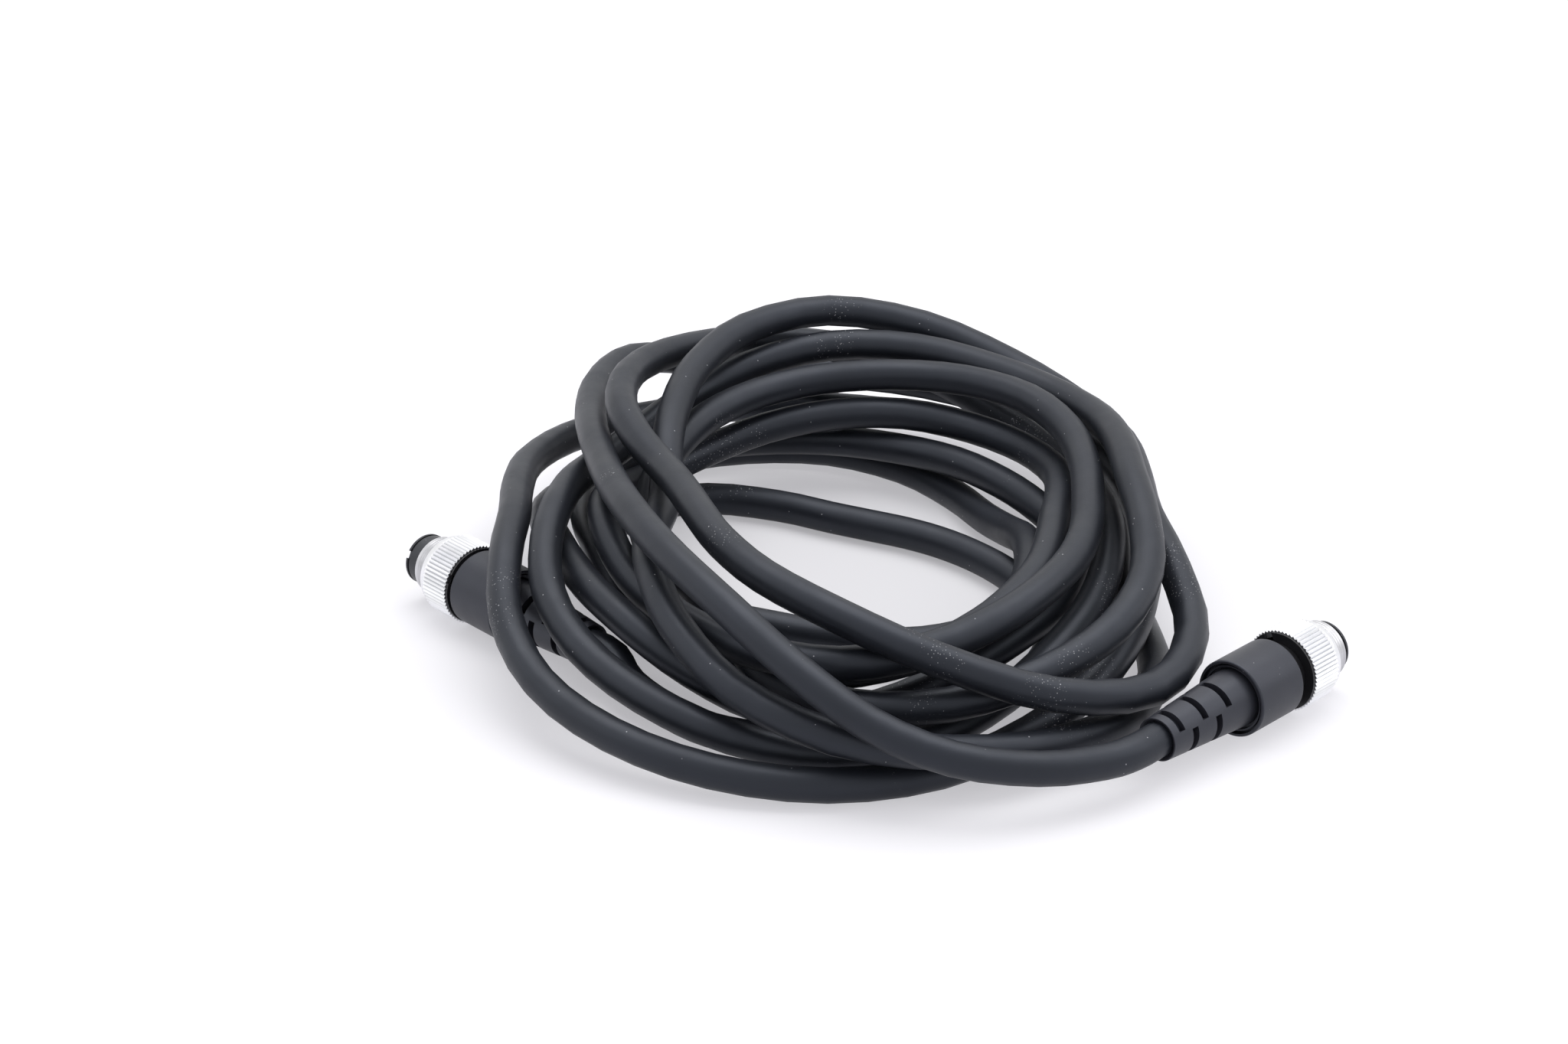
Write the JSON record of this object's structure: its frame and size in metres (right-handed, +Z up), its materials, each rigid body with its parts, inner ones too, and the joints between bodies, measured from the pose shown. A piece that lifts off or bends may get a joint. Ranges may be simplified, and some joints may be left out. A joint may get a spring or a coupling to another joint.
{
  "type": "coiled remote extension cable",
  "caption": "Black round extension cable lying in a loose coil, with a plug at each end that has a slotted strain relief and a knurled screw coupling ring.",
  "frame": {"origin": "on the floor under the middle of the box round the two plugs", "axes": "+X from the plug lying at the back left to the plug at the front right, +Y away from the front of the coil, +Z up"},
  "size_m": [0.1646, 0.1648, 0.0327],
  "materials": {
    "cord": "matte black jacket",
    "shell": "satin black moulding",
    "relief": "satin black moulding",
    "ring": "satin, bright on the knurls",
    "sleeve": "blackened, turned",
    "washer": "blackened spring steel",
    "ferrule": "plated, crimped",
    "contact": "turned and plated",
    "insert": "black insulator",
    "core": "insulated cores"
  },
  "bodies": {
    "cable": {"body_shell_a": "shell", "strain_relief_a": "relief", "cord_tail_a": "cord", "crimp_ferrule_a": "ferrule", "conductors_a": "core", "contact_sockets_a": "contact", "contact_insert_a": "insert", "inner_sleeve_a": "sleeve", "body_shell_b": "shell", "strain_relief_b": "relief", "cord_tail_b": "cord", "crimp_ferrule_b": "ferrule", "conductors_b": "core", "contact_sockets_b": "contact", "contact_insert_b": "insert", "inner_sleeve_b": "sleeve", "cord_lead_a": "cord", "cord_coil": "cord", "cord_lead_b": "cord"},
    "washer_a": {"slip_washer_a": "washer"},
    "ring_a": {"coupling_ring_a": "ring"},
    "washer_b": {"slip_washer_b": "washer"},
    "ring_b": {"coupling_ring_b": "ring"}
  },
  "joints": [
    {"name": "ring_a_slide", "type": "slide", "parent": "cable", "child": "washer_a", "axis": [0.6884, 0.7254, 0], "range_m": [-0.002, 0]},
    {"name": "ring_a_turn", "type": "hinge", "parent": "washer_a", "child": "ring_a", "pos_m": [0.0731, -0.00719, 0.0073], "axis": [0.6884, 0.7254, 0], "continuous": true},
    {"name": "ring_b_slide", "type": "slide", "parent": "cable", "child": "washer_b", "axis": [-0.6691, 0.7431, 0], "range_m": [0, 0.002]},
    {"name": "ring_b_turn", "type": "hinge", "parent": "washer_b", "child": "ring_b", "pos_m": [-0.07162, 0.0262, 0.0073], "axis": [-0.6691, 0.7431, 0], "continuous": true}
  ]
}
